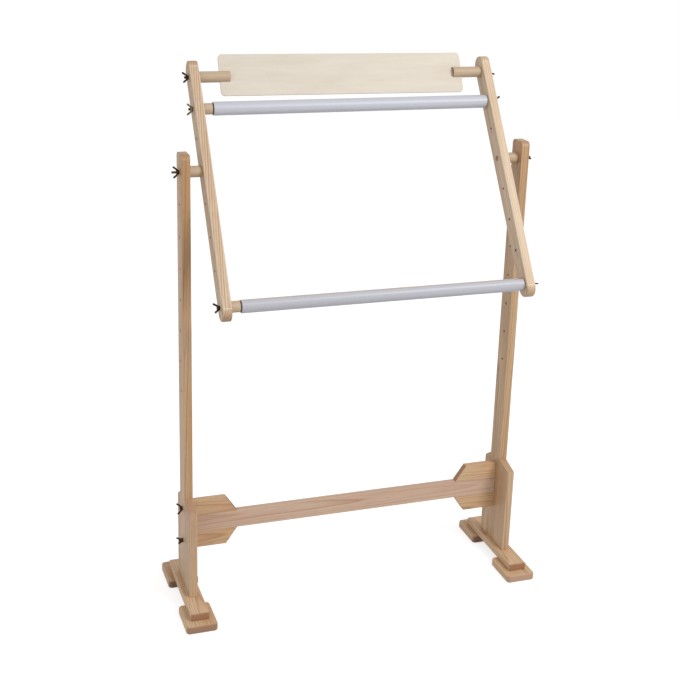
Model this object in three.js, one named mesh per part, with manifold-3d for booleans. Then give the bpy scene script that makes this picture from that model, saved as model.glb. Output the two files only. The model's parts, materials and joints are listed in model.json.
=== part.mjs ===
// Floor-standing embroidery stand. Two sledge feet carry two posts joined by a crossbar, and a frame
// hangs on two pivot bolts between the posts: two side bars, two rollers with push-on fabric clips,
// and a thin chart board held by two slotted stubs at the top.
// Millimetres. X runs right along the crossbar, Y runs to the back, Z is up and the floor is Z = 0.
import * as THREE from "three";
import { mergeVertices } from "three/addons/utils/BufferGeometryUtils.js";
import Module from "manifold-3d";

const wasm = await Module();
wasm.setup();

// Posts
const postSpan = 752; // over the outer faces of the two posts
const postThickness = 18;
const uprightDepth = 46;
const postAbovePivot = 38;
const uprightCorner = 10;
const frontCheekDepth = 44;
const rearCheekDepth = 28;
const shoulderHeight = 244; // where the sloped top of a cheek meets the upright
const frontShoulderDrop = 13;
const rearShoulderDrop = 19;

// Feet
const padWidth = 67;
const padLength = 90;
const padHeight = 16.5;
const padCorner = 9;
const padOverhang = 22; // of a pad, past the end of its foot board
const footBoardWidth = 40;
const footBoardHeight = 16.5;
const footBoardCorner = 3;
const footBoardFront = 65; // in front of the post
const footBoardRear = 51; // behind the post

// Crossbar and gusset blocks
const crossbarCentre = 173.5; // height of its middle
const crossbarHeight = 40;
const crossbarThickness = 15;
const gussetHeight = 36;
const gussetShortSide = 76;
const gussetLongSide = 101; // along the crossbar

// Tilting frame, measured up the side bars from the pivot
const pivotHeight = 945;
const frameLean = 34; // degrees back from upright, at rest
const spacerLength = 26.5;
const barThickness = 19.5;
const barDepth = 41; // its ends are rounded to half of this
const barHolePitch = 69;
const spareHolesAbove = 1; // spare holes of a side bar, above the pivot
const spareHolesBelow = 3;
const upperRollerStep = 64; // from the last spare hole to the roller
const lowerRollerStep = 74;
const barTopMargin = 34.4; // from the chart board's axis to the end of the bar
const barBottomMargin = 28; // from the lower roller's axis to the end of the bar
const uprightHolePitch = 66;
const spareUprightHoles = 7; // below the pivot

// Rollers and fabric clips
const dowelRadius = 11.5;
const dowelChamfer = 1;
const clipWall = 2;
const clipLeftGap = 21.8; // bare dowel between a clip and the left-hand side bar, at rest
const clipRightGap = 1.2;
const clipSlit = 64; // degrees of the section left open
const upperSlitFacing = 122; // degrees that the slit is turned back from straight up
const lowerSlitFacing = 10;

// Chart board
const stubSlotDepth = 22.6;
const stubCore = 8.1; // solid wood between the slot and the stud's bore
const chartBoardHeight = 88;
const chartBoardThickness = 3;
const chartBoardCorner = 9;
const chartBoardLean = 26; // degrees back from upright, at rest
const chartClearance = 12; // from the upper clip to its lower edge, were it in line with the bars and centred
const chartBoardRaise = 1.4; // of its middle, above the axis of its stubs
const chartBoardTurn = 0.4; // degrees in its own plane, with its left end up
const chartEndGap = 1.7; // between each end of the board and the bottom of its slot

// Hardware
const boltRadius = 2.5;
const pivotBoltEnd = 15; // of the bolt, past the outer face of the post
const studEnd = 9; // of a stud, past the face that its nut bears on
const shortStudEnd = 5.5;
const shortStuds = ["left_upper_crossbar", "lower_roller_left"];
const studGrip = 34; // of a stud, in the wood
const boltHeadRadius = 5.5;
const boltHeadHeight = 3;
const nutWall = 2;
const nutTopWall = 1.1;
const nutHeight = 5.6;
const wingSpan = 24;
const wingHeight = 12;
const wingThickness = 2.4;
const wingTipRadius = 1.9;
const wingBend = 3.6; // from the tip's arc to the point that the wing's outer edge bends towards
const wingStart = 0.8; // height of a wing's lower edge, at the hub
const wingValley = 4.2; // height of its upper edge, at the hub
const wingTipFrom = 125; // degrees round the tip, from the nut's axis outwards
const wingTipTo = -50;
const screwRadius = 2;
const screwHeadRadius = 4.2;
const screwHeadHeight = 2.6;
const screwHeadRim = 0.8;
const screwLength = 60;
const screwPoint = 6;
const frontScrewInset = 20; // from the seam of the upright and its front cheek
const rearScrewInset = 6;

// Clearances
const turningGap = 0.3; // between a turning piece and the face that it runs on
const threadGap = 0.3; // all round a bolt, in a nut or a bolt hole
const boreGap = 0.1; // all round a stud or screw, in its bore
const endGap = 0.3; // at the bottom of a bore or slot
const clipGap = 0.5; // all round a roller, in its clip
const slotGap = 0.3; // on each side of the chart board, in its slots

// How far each wing nut's wings happen to be turned up from level, in degrees
const nutTurns = {
  left_upper_crossbar: 60,
  left_lower_crossbar: 4,
  right_upper_crossbar: 35,
  right_lower_crossbar: 110,
  left_pivot: 78,
  right_pivot: 8,
  left_chart: 54,
  right_chart: 25,
  upper_roller_left: 90,
  upper_roller_right: 112,
  lower_roller_left: 33,
  lower_roller_right: 170,
};

// Edges and facets
const easedEdge = 2.4; // long edges of planed wood
const seamEdge = 0.7; // edges of pieces that are glued flush
const plyEdge = 0.5;
const cornerSteps = 4; // of an arc, a quarter turn
const barEndSteps = 8;
const rodChamfer = 0.5;
const dowelSides = 32;
const rodSides = 12;
const holeSides = 16;

// Sizes and places that follow from those above
const postOuter = postSpan / 2;
const postInner = postOuter - postThickness;
const postMiddle = postOuter - postThickness / 2;
const uprightBack = uprightDepth / 2;
const uprightFront = -uprightBack;
const uprightTop = pivotHeight + postAbovePivot;
const footTop = padHeight + footBoardHeight;
const footFront = uprightFront - frontCheekDepth - footBoardFront;
const footBack = uprightBack + rearCheekDepth + footBoardRear;
const barOuter = postInner - spacerLength;
const barInner = barOuter - barThickness;
const holeRadius = boltRadius + threadGap;
const studBore = boltRadius + boreGap;
const nutRadius = holeRadius + nutWall;
const nutTopRadius = holeRadius + nutTopWall;
const boreDepth = studGrip + endGap;
const screwBore = screwRadius + boreGap;
const screwBoreDepth = screwLength + 2 * endGap - footBoardHeight;
const dowelEnd = barInner - turningGap;
const clipBore = dowelRadius + clipGap;
const clipRadius = clipBore + clipWall;
const clipLength = 2 * barInner - clipLeftGap - clipRightGap;
const upperRollerUp = spareHolesAbove * barHolePitch + upperRollerStep;
const lowerRollerDown = spareHolesBelow * barHolePitch + lowerRollerStep;
const chartAxisUp = upperRollerUp + clipRadius + chartClearance + chartBoardHeight / 2;
const stubLength = stubSlotDepth + stubCore + boreDepth;
const chartBoardWidth = 2 * (dowelEnd - stubLength + stubSlotDepth - chartEndGap);
const sides = [
  { name: "left", sign: -1 },
  { name: "right", sign: 1 },
];
const rows = [
  { name: "upper", sign: 1 },
  { name: "lower", sign: -1 },
];
const gussetMiddle = (crossbarHeight + gussetHeight) / 2;
const radians = THREE.MathUtils.degToRad;

// Finishes
const postPine = new THREE.MeshStandardMaterial({ color: 0xb88a60, roughness: 0.62 });
const footPine = new THREE.MeshStandardMaterial({ color: 0xb8977a, roughness: 0.7 });
const framePine = new THREE.MeshStandardMaterial({ color: 0xd0b490, roughness: 0.66 });
const dowelWood = new THREE.MeshStandardMaterial({ color: 0xd6b48e, roughness: 0.64 });
const plywood = new THREE.MeshStandardMaterial({ color: 0xe0d3be, roughness: 0.6 });
const whitePlastic = new THREE.MeshStandardMaterial({ color: 0xe4e5ea, roughness: 0.35 });
const bronzed = new THREE.MeshStandardMaterial({ color: 0x3c2b20, roughness: 0.4, metalness: 0.8 });
const brassy = new THREE.MeshStandardMaterial({ color: 0x8c7a4a, roughness: 0.4, metalness: 0.8 });
const steel = new THREE.MeshStandardMaterial({ color: 0x8f9296, roughness: 0.4, metalness: 0.9 });

// Turns an outline of Y and Z, pulled along its own third axis, so that it is pulled along X.
const outlineToSide = new THREE.Matrix4().makeBasis(
  new THREE.Vector3(0, 1, 0),
  new THREE.Vector3(0, 0, 1),
  new THREE.Vector3(1, 0, 0),
);
const quarterTurn = Math.PI / 2;

function piece(name, geometry, material) {
  const mesh = new THREE.Mesh(geometry, material);
  mesh.name = name;
  return mesh;
}

function solidOf(geometry) {
  const bare = geometry.clone();
  bare.deleteAttribute("normal");
  bare.deleteAttribute("uv");
  const merged = mergeVertices(bare);
  const mesh = new wasm.Mesh({
    numProp: 3,
    vertProperties: merged.attributes.position.array,
    triVerts: new Uint32Array(merged.index.array),
  });
  return new wasm.Manifold(mesh);
}

function geometryOf(solid) {
  const mesh = solid.getMesh();
  const geometry = new THREE.BufferGeometry();
  geometry.setAttribute("position", new THREE.BufferAttribute(mesh.vertProperties, 3));
  geometry.setIndex(new THREE.BufferAttribute(mesh.triVerts, 1));
  geometry.computeVertexNormals();
  return geometry;
}

function cut(geometry, cutters) {
  let solid = solidOf(geometry);
  for (const cutter of cutters) solid = solid.subtract(solidOf(cutter));
  return geometryOf(solid);
}

function drillAlongX(radius, length, x, y, z) {
  const drill = new THREE.CylinderGeometry(radius, radius, length, holeSides);
  return drill.rotateZ(quarterTurn).translate(x, y, z);
}

function drillAlongZ(radius, length, x, y, z) {
  const drill = new THREE.CylinderGeometry(radius, radius, length, holeSides);
  return drill.rotateX(quarterTurn).translate(x, y, z);
}

function polygon(corners) {
  return new THREE.Shape(corners.map(([x, y]) => new THREE.Vector2(x, y)));
}

function roundedRectangle(left, bottom, right, top, corner) {
  const outline = new THREE.Shape();
  outline.absarc(right - corner, bottom + corner, corner, -quarterTurn, 0, false);
  outline.absarc(right - corner, top - corner, corner, 0, quarterTurn, false);
  outline.absarc(left + corner, top - corner, corner, quarterTurn, Math.PI, false);
  outline.absarc(left + corner, bottom + corner, corner, Math.PI, 3 * quarterTurn, false);
  return outline.closePath();
}

// A board of the outline, with the edges of its two faces rounded, and its thickness centred on 0.
function board(outline, thickness, edge, arcSteps = cornerSteps) {
  const geometry = new THREE.ExtrudeGeometry(outline, {
    depth: thickness - 2 * edge,
    bevelThickness: edge,
    bevelSize: edge,
    bevelOffset: -edge,
    bevelSegments: 2,
    curveSegments: arcSteps,
  });
  return geometry.translate(0, 0, edge - thickness / 2);
}

// A turned piece along X, from a profile of [X, radius] that starts and ends on the axis or closes.
function turned(profile, segments) {
  const points = profile.map(([along, radius]) => new THREE.Vector2(radius, along));
  return new THREE.LatheGeometry(points, segments).rotateZ(-quarterTurn);
}

function rod(radius, length, chamfer, segments) {
  const half = length / 2;
  const profile = [
    [-half, 0],
    [-half, radius - chamfer],
    [chamfer - half, radius],
    [half - chamfer, radius],
    [half, radius - chamfer],
    [half, 0],
  ];
  return turned(profile, segments);
}

// A stud on the given side, from the bottom of its bore to past the face that its nut bears on.
function stud(name, sign, from, face, y, z) {
  const to = face + (shortStuds.includes(name) ? shortStudEnd : studEnd);
  const mesh = piece(`${name}_stud`, rod(boltRadius, to - from, rodChamfer, rodSides), bronzed);
  mesh.position.set((sign * (from + to)) / 2, y, z);
  return mesh;
}

// Each wing is drawn with the nut's axis across and the distance from that axis up.
function wingOutline() {
  const tip = new THREE.Vector2(wingHeight - wingTipRadius, wingSpan / 2 - wingTipRadius);
  const root = (nutTopRadius + holeRadius) / 2;
  const start = radians(wingTipFrom);
  const end = radians(wingTipTo);
  const outer = new THREE.Vector2(Math.cos(start), Math.sin(start)).multiplyScalar(wingTipRadius);
  const inner = new THREE.Vector2(Math.cos(end), Math.sin(end)).multiplyScalar(wingTipRadius);
  outer.add(tip);
  inner.add(tip);
  const outline = new THREE.Shape();
  outline.moveTo(wingStart, root);
  outline.lineTo(wingStart, nutRadius - threadGap);
  outline.quadraticCurveTo(
    outer.x - wingBend * Math.sin(start),
    outer.y + wingBend * Math.cos(start),
    outer.x,
    outer.y,
  );
  outline.absarc(tip.x, tip.y, wingTipRadius, start, end, true);
  outline.quadraticCurveTo(nutHeight, nutTopRadius + threadGap, wingValley, root);
  return outline.closePath();
}

// A wing nut with its seat at X = 0 and its wings towards +X.
function wingNutGeometry() {
  const hub = [
    [0, holeRadius],
    [0, nutRadius],
    [nutHeight / 2, nutRadius],
    [nutHeight, nutTopRadius],
    [nutHeight, holeRadius],
    [0, holeRadius],
  ];
  let nut = solidOf(turned(hub, holeSides));
  for (const turn of [0, Math.PI]) {
    const wing = new THREE.ExtrudeGeometry(wingOutline(), {
      depth: wingThickness,
      bevelEnabled: false,
      curveSegments: 4,
    });
    wing.translate(0, 0, -wingThickness / 2).rotateX(turn);
    nut = nut.add(solidOf(wing));
  }
  return cut(geometryOf(nut), [drillAlongX(holeRadius, wingSpan * 2, 0, 0, 0)]);
}

const nutShape = wingNutGeometry();

// A wing nut that bears on a face of the given side; turn is the angle of its wings, in degrees.
function wingNut(name, sign, face, y, z, turn, material) {
  const mesh = piece(name, nutShape, material);
  mesh.rotation.set(radians(turn), 0, sign > 0 ? 0 : Math.PI);
  mesh.position.set(sign * (face + turningGap), y, z);
  return mesh;
}

const screwRows = [
  { name: "front", y: uprightFront - frontScrewInset },
  { name: "rear", y: uprightBack + rearScrewInset },
];

function foot(side) {
  const x = side.sign * postMiddle;
  const group = new THREE.Group();
  const half = footBoardWidth / 2;
  const outline = roundedRectangle(x - half, footFront, x + half, footBack, footBoardCorner);
  const plain = board(outline, footBoardHeight, easedEdge);
  plain.translate(0, 0, padHeight + footBoardHeight / 2);
  const drills = screwRows.flatMap(({ y }) => [
    drillAlongZ(screwBore, footBoardHeight * 2, x, y, footTop),
    drillAlongZ(screwHeadRadius + boreGap, (screwHeadHeight + endGap) * 2, x, y, padHeight),
  ]);
  group.add(piece(`${side.name}_foot_board`, cut(plain, drills), footPine));
  const pads = [
    { name: "front", start: footFront - padOverhang },
    { name: "rear", start: footBack + padOverhang - padLength },
  ];
  for (const { name, start } of pads) {
    const left = x - padWidth / 2;
    const edge = roundedRectangle(left, start, left + padWidth, start + padLength, padCorner);
    const pad = board(edge, padHeight, easedEdge).translate(0, 0, padHeight / 2);
    group.add(piece(`${side.name}_${name}_pad`, pad, footPine));
  }
  for (const { name, y } of screwRows) group.add(postScrew(`${side.name}_${name}_post_screw`, x, y));
  return group;
}

// A countersunk screw, its head sunk in the underside of the foot board and its point in a cheek.
function postScrew(name, x, y) {
  const outline = [
    [0, 0],
    [screwHeadRadius, 0],
    [screwHeadRadius, screwHeadRim],
    [screwRadius, screwHeadHeight],
    [screwRadius, screwLength - screwPoint],
    [0, screwLength],
  ];
  const points = outline.map(([radius, up]) => new THREE.Vector2(radius, up));
  const mesh = piece(name, new THREE.LatheGeometry(points, rodSides).rotateX(quarterTurn), steel);
  mesh.position.set(x, y, padHeight + endGap);
  return mesh;
}

function uprightOutline() {
  const top = uprightTop - uprightCorner;
  const inset = uprightBack - uprightCorner;
  const outline = new THREE.Shape();
  outline.moveTo(uprightFront, footTop);
  outline.lineTo(uprightBack, footTop);
  outline.absarc(inset, top, uprightCorner, 0, quarterTurn, false);
  outline.absarc(-inset, top, uprightCorner, quarterTurn, Math.PI, false);
  return outline.closePath();
}

function post(side) {
  const x = side.sign * postMiddle;
  const group = new THREE.Group();
  const upright = board(uprightOutline(), postThickness, seamEdge).applyMatrix4(outlineToSide);
  const heights = rows.map((row) => crossbarCentre + row.sign * gussetMiddle);
  for (let step = 0; step <= spareUprightHoles; step++) {
    heights.push(pivotHeight - step * uprightHolePitch);
  }
  const drills = heights.map((z) => drillAlongX(holeRadius, postThickness * 2, 0, 0, z));
  group.add(piece(`${side.name}_upright`, cut(upright, drills), postPine));
  const cheeks = [
    { name: "front", seam: uprightFront, depth: -frontCheekDepth, drop: frontShoulderDrop },
    { name: "rear", seam: uprightBack, depth: rearCheekDepth, drop: rearShoulderDrop },
  ];
  for (const { name, seam, depth, drop } of cheeks) {
    const outline = polygon([
      [seam, footTop],
      [seam + depth, footTop],
      [seam + depth, shoulderHeight - drop],
      [seam, shoulderHeight],
    ]);
    const cheek = board(outline, postThickness, seamEdge).applyMatrix4(outlineToSide);
    const screw = screwRows.find((row) => row.name === name);
    const bore = drillAlongZ(screwBore, screwBoreDepth * 2, 0, screw.y, footTop);
    group.add(piece(`${side.name}_${name}_cheek`, cut(cheek, [bore]), postPine));
  }
  group.position.x = x;
  return group;
}

// The crossbar and its gusset blocks, flush at the front and back, with a bore for each stud.
function crossbar() {
  const group = new THREE.Group();
  const half = crossbarHeight / 2;
  const rail = polygon([
    [-postInner, -half],
    [postInner, -half],
    [postInner, half],
    [-postInner, half],
  ]);
  group.add(piece("crossbar", board(rail, crossbarThickness, seamEdge).rotateX(quarterTurn), footPine));
  for (const side of sides) {
    for (const row of rows) {
      const outline = polygon([
        [side.sign * postInner, row.sign * half],
        [side.sign * (postInner - gussetLongSide), row.sign * half],
        [side.sign * (postInner - gussetShortSide), row.sign * (half + gussetHeight)],
        [side.sign * postInner, row.sign * (half + gussetHeight)],
      ]);
      const block = board(outline, crossbarThickness, seamEdge).rotateX(quarterTurn);
      const level = row.sign * gussetMiddle;
      const bore = drillAlongX(studBore, boreDepth * 2, side.sign * postInner, 0, level);
      group.add(piece(`${side.name}_${row.name}_gusset`, cut(block, [bore]), footPine));
      const name = `${side.name}_${row.name}_crossbar`;
      const turn = nutTurns[name];
      group.add(stud(name, side.sign, postInner - studGrip, postOuter, 0, level));
      group.add(wingNut(`${name}_wing_nut`, side.sign, postOuter, 0, level, turn, bronzed));
    }
  }
  group.position.z = crossbarCentre;
  return group;
}

function sideBar(side) {
  const half = barDepth / 2;
  const top = chartAxisUp + barTopMargin;
  const bottom = -lowerRollerDown - barBottomMargin;
  const outline = roundedRectangle(-half, bottom, half, top, half);
  const plain = board(outline, barThickness, easedEdge, barEndSteps).applyMatrix4(outlineToSide);
  const heights = [chartAxisUp, upperRollerUp, -lowerRollerDown];
  for (let step = -spareHolesBelow; step <= spareHolesAbove; step++) {
    heights.push(step * barHolePitch);
  }
  const drills = heights.map((z) => drillAlongX(holeRadius, barThickness * 2, 0, 0, z));
  const mesh = piece(`${side.name}_side_bar`, cut(plain, drills), framePine);
  mesh.position.x = side.sign * (barOuter - barThickness / 2);
  return mesh;
}

// The bolt is drawn for the right side, with the underside of its domed head at X = 0.
function pivotBolt(side) {
  const length = barThickness + spacerLength + postThickness + pivotBoltEnd;
  const profile = [[-boltHeadHeight, 0]];
  const domeSteps = 3;
  for (let step = 1; step < domeSteps; step++) {
    const turn = (step / domeSteps) * quarterTurn;
    profile.push([-boltHeadHeight * Math.cos(turn), boltHeadRadius * Math.sin(turn)]);
  }
  profile.push([0, boltHeadRadius], [0, boltRadius], [length - rodChamfer, boltRadius]);
  profile.push([length, boltRadius - rodChamfer], [length, 0]);
  const mesh = piece(`${side.name}_pivot_bolt`, turned(profile, holeSides), bronzed);
  mesh.rotation.z = side.sign > 0 ? 0 : Math.PI;
  mesh.position.x = side.sign * barInner;
  return mesh;
}

// The spacer is a short dowel, bored through, that keeps the frame clear of the post.
function spacer(side) {
  const length = spacerLength - turningGap;
  const half = length / 2;
  const profile = [
    [-half, holeRadius],
    [-half, dowelRadius - dowelChamfer],
    [dowelChamfer - half, dowelRadius],
    [half - dowelChamfer, dowelRadius],
    [half, dowelRadius - dowelChamfer],
    [half, holeRadius],
    [-half, holeRadius],
  ];
  const mesh = piece(`${side.name}_spacer`, turned(profile, dowelSides), dowelWood);
  mesh.position.x = side.sign * (barOuter + half);
  return mesh;
}

// The clip is a tube with a slit along it, drawn from the side in the frame's own plane.
function clip(name, facing) {
  const middle = radians(90 - facing + frameLean);
  const half = radians(clipSlit / 2);
  const from = middle + half;
  const to = middle - half + 2 * Math.PI;
  const section = new THREE.Shape();
  section.absarc(0, 0, clipRadius, from, to, false);
  section.absarc(0, 0, clipBore, to, from, true);
  const tube = new THREE.ExtrudeGeometry(section.closePath(), {
    depth: clipLength,
    bevelEnabled: false,
    curveSegments: 14,
  });
  tube.translate(0, 0, -clipLength / 2).applyMatrix4(outlineToSide);
  const mesh = piece(name, tube, whitePlastic);
  mesh.position.x = barInner - clipRightGap - clipLength / 2;
  return mesh;
}

function roller(row, facing) {
  const group = new THREE.Group();
  const plain = rod(dowelRadius, 2 * dowelEnd, dowelChamfer, dowelSides);
  const bores = sides.map(({ sign }) => drillAlongX(studBore, boreDepth * 2, sign * dowelEnd, 0, 0));
  group.add(piece(`${row}_roller`, cut(plain, bores), dowelWood));
  group.add(clip(`${row}_clip`, facing));
  for (const { name, sign } of sides) {
    const fastening = `${row}_roller_${name}`;
    const metal = fastening === "upper_roller_left" ? brassy : bronzed;
    group.add(stud(fastening, sign, dowelEnd - studGrip, barOuter, 0, 0));
    const turn = nutTurns[fastening] + frameLean;
    group.add(wingNut(`${fastening}_wing_nut`, sign, barOuter, 0, 0, turn, metal));
  }
  return group;
}

// The chart board and the two stubs that it slides into, drawn upright and then leant back.
function chartHolder() {
  const group = new THREE.Group();
  for (const { name, sign } of sides) {
    const plain = rod(dowelRadius, stubLength, dowelChamfer, dowelSides);
    const bore = drillAlongX(studBore, boreDepth * 2, (sign * stubLength) / 2, 0, 0);
    const slot = new THREE.BoxGeometry(
      stubSlotDepth * 2,
      chartBoardThickness + 2 * slotGap,
      dowelRadius * 3,
    );
    slot.translate((-sign * stubLength) / 2, 0, 0);
    const stub = piece(`${name}_slotted_stub`, cut(plain, [bore, slot]), dowelWood);
    stub.position.x = sign * (dowelEnd - stubLength / 2);
    group.add(stub);
    group.add(stud(`${name}_chart`, sign, dowelEnd - studGrip, barOuter, 0, 0));
    const turn = nutTurns[`${name}_chart`] + chartBoardLean;
    group.add(wingNut(`${name}_chart_wing_nut`, sign, barOuter, 0, 0, turn, bronzed));
  }
  const halfWidth = chartBoardWidth / 2;
  const halfHeight = chartBoardHeight / 2;
  const outline = roundedRectangle(-halfWidth, -halfHeight, halfWidth, halfHeight, chartBoardCorner);
  const sheet = board(outline, chartBoardThickness, plyEdge).rotateZ(-radians(chartBoardTurn));
  sheet.translate(0, chartBoardRaise, 0).rotateX(quarterTurn);
  group.add(piece("chart_board", sheet, plywood));
  group.position.z = chartAxisUp;
  group.rotation.x = radians(frameLean - chartBoardLean);
  return group;
}

function frame() {
  const group = new THREE.Group();
  for (const side of sides) {
    group.add(sideBar(side), spacer(side), pivotBolt(side));
    const turn = nutTurns[`${side.name}_pivot`] + frameLean;
    group.add(wingNut(`${side.name}_pivot_wing_nut`, side.sign, postOuter, 0, 0, turn, bronzed));
  }
  const upper = roller("upper", upperSlitFacing);
  const lower = roller("lower", lowerSlitFacing);
  upper.position.z = upperRollerUp;
  lower.position.z = -lowerRollerDown;
  group.add(upper, lower, chartHolder());
  group.position.z = pivotHeight;
  group.rotation.x = -radians(frameLean);
  return group;
}

const assembly = new THREE.Group();
for (const side of sides) assembly.add(foot(side), post(side));
assembly.add(crossbar(), frame());

// The origin is on the floor, midway between the feet and midway from front to back of the outline.
assembly.updateMatrixWorld(true);
const outline = new THREE.Box3().setFromObject(assembly, true);
assembly.position.y = -Math.round((outline.min.y + outline.max.y) * 4) / 8;

const stand = new THREE.Group();
stand.add(assembly);

export default stand;
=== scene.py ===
import json
from math import cos, pi, radians, sin

import bmesh
import bpy
from mathutils import Matrix, Vector


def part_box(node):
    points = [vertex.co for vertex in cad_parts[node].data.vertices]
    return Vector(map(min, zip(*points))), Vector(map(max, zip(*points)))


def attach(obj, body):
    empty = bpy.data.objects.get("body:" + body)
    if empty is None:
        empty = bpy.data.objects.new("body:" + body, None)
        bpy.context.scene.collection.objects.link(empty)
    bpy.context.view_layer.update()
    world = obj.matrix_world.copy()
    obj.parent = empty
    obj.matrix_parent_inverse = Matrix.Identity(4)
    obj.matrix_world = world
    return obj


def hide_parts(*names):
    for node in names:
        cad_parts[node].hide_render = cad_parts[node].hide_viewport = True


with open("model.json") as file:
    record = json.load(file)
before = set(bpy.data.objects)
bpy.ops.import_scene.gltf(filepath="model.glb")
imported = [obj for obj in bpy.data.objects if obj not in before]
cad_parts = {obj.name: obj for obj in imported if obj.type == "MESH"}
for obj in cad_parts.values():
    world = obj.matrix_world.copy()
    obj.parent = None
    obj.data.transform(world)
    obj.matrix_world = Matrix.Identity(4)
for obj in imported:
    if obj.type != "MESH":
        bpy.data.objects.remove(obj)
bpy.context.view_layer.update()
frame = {"nodes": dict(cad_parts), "record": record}
nodes = frame["nodes"]
bodies = frame["record"]["behaviour"]["bodies"]
bodyOf = {node: body for body, members in bodies.items() for node in members}
mm = 0.001
print("frame loaded:", len(nodes), "nodes")


# Camera, light and floor

camera = {
    "place": (-0.86081, -2.35481, 1.48625),
    "azimuth": -19.2875, "elevation": 17.4009, "roll": 1.738,   # degrees
    "focalPixels": 1250.39, "centre": (342.28, 280.0), "picture": 680,   # pixels
    "sensor": 36.0, "farthest": 200,   # mm, metres
}


def setCamera(settings):
    turn, rise, roll = (radians(settings[k]) for k in ("azimuth", "elevation", "roll"))
    back = Vector((sin(turn) * cos(rise), -cos(turn) * cos(rise), sin(rise)))
    right = Vector((cos(turn), sin(turn), 0))
    up = back.cross(right)
    across = right * cos(roll) + up * sin(roll)
    above = up * cos(roll) - right * sin(roll)
    lens = bpy.data.cameras.new("camera")
    lens.sensor_width = settings["sensor"]
    lens.lens = settings["focalPixels"] / settings["picture"] * settings["sensor"]
    half = settings["picture"] / 2
    lens.shift_x = (half - settings["centre"][0]) / settings["picture"]
    lens.shift_y = (settings["centre"][1] - half) / settings["picture"]
    lens.clip_end = settings["farthest"]
    eye = bpy.data.objects.new("camera", lens)
    facing = Matrix((across, above, back)).transposed().to_4x4()
    eye.matrix_world = Matrix.Translation(settings["place"]) @ facing
    bpy.context.scene.collection.objects.link(eye)
    bpy.context.scene.camera = eye


setCamera(camera)
bpy.context.scene.view_settings.view_transform = "Standard"


def linear(hexColour):
    # from a written sRGB colour to linear light
    channels = [int(hexColour[i:i + 2], 16) / 255 for i in (1, 3, 5)]
    return tuple(c / 12.92 if c <= 0.04045 else ((c + 0.055) / 1.055) ** 2.4 for c in channels) + (1,)


def addNode(tree, kind, inputs, **settings):
    node = tree.nodes.new(kind)
    stops = settings.pop("stops", None)
    for name, value in settings.items():
        setattr(node, name, value)
    for socket, value in inputs.items():
        if isinstance(value, bpy.types.NodeSocket):
            tree.links.new(value, node.inputs[socket])
        else:
            node.inputs[socket].default_value = value
    if stops:
        ramp = node.color_ramp
        while len(ramp.elements) < len(stops):
            ramp.elements.new(0.5)
        for element, (position, value) in zip(ramp.elements, stops):
            element.position = position
            element.color = (value, value, value, 1)
    return node


def newMaterial(name):
    material = bpy.data.materials.new(name)
    material.use_nodes = True
    return material, material.node_tree, material.node_tree.nodes["Principled BSDF"]


studio = {
    "skyStrength": 0.6, "skyColour": "#FBFCFF",
    "floorColour": "#C8C8C8", "floorGlow": 0.68, "floorRadius": 40.0, "floorSides": 64,   # radius in metres
    "lamps": [   # name, place, aim, size in metres, watts
        ("key", (1.5, -2.5, 2.9), (0, 0, 0.6), 1.4, 66),
        ("leftFill", (-3.0, -2.2, 1.6), (0, 0, 0.6), 2.0, 13),
    ],
}


def seenDirectly(tree):
    # one for rays from the eye, from a mirror and through clear stuff, and nought for light
    ray = addNode(tree, "ShaderNodeLightPath", {})
    seen = addNode(tree, "ShaderNodeMath",
                   {0: ray.outputs["Is Camera Ray"], 1: ray.outputs["Is Glossy Ray"]}, operation="ADD")
    seen = addNode(tree, "ShaderNodeMath", {0: seen.outputs[0], 1: ray.outputs["Is Transmission Ray"]},
                   operation="ADD", use_clamp=True)
    return seen.outputs[0]


def setStudio(settings):
    world = bpy.data.worlds.new("studio")
    bpy.context.scene.world = world
    world.use_nodes = True
    tree = world.node_tree
    tree.nodes.clear()
    # white where it is seen, and dimmer as a light
    seen = seenDirectly(tree)
    strength = addNode(tree, "ShaderNodeMapRange",
                       {"Value": seen, "To Min": settings["skyStrength"], "To Max": 1.0})
    tint = addNode(tree, "ShaderNodeMix",
                   {"Factor": seen, 6: linear(settings["skyColour"]), 7: (1, 1, 1, 1)}, data_type="RGBA")
    sky = addNode(tree, "ShaderNodeBackground", {"Color": tint.outputs[2], "Strength": strength.outputs[0]})
    addNode(tree, "ShaderNodeOutputWorld", {"Surface": sky.outputs[0]})

    for name, place, aim, size, watts in settings["lamps"]:
        lamp = bpy.data.lights.new(name, "AREA")
        lamp.shape, lamp.size, lamp.energy = "DISK", size, watts
        holder = bpy.data.objects.new(name, lamp)
        aimed = (Vector(aim) - Vector(place)).to_track_quat("-Z", "Y").to_matrix().to_4x4()
        holder.matrix_world = Matrix.Translation(place) @ aimed
        bpy.context.scene.collection.objects.link(holder)

    # pale matt floor: a glow that only the eye sees lifts it to white, and its shadows stay
    material, tree, surface = newMaterial("paleFloor")
    tree.nodes.remove(surface)
    seen = seenDirectly(tree)
    glow = addNode(tree, "ShaderNodeMath", {0: seen, 1: settings["floorGlow"]}, operation="MULTIPLY")
    matt = addNode(tree, "ShaderNodeBsdfDiffuse", {"Color": linear(settings["floorColour"])})
    light = addNode(tree, "ShaderNodeEmission", {"Color": (1, 1, 1, 1), "Strength": glow.outputs[0]})
    both = addNode(tree, "ShaderNodeAddShader", {0: matt.outputs[0], 1: light.outputs[0]})
    tree.links.new(both.outputs[0], tree.nodes["Material Output"].inputs["Surface"])
    mesh = bmesh.new()
    bmesh.ops.create_circle(mesh, cap_ends=True, segments=settings["floorSides"],
                            radius=settings["floorRadius"])
    floor = bpy.data.objects.new("floor", bpy.data.meshes.new("floor"))
    mesh.to_mesh(floor.data)
    mesh.free()
    floor.data.materials.append(material)
    bpy.context.scene.collection.objects.link(floor)


setStudio(studio)
print("camera, light and floor set")


# Materials

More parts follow.
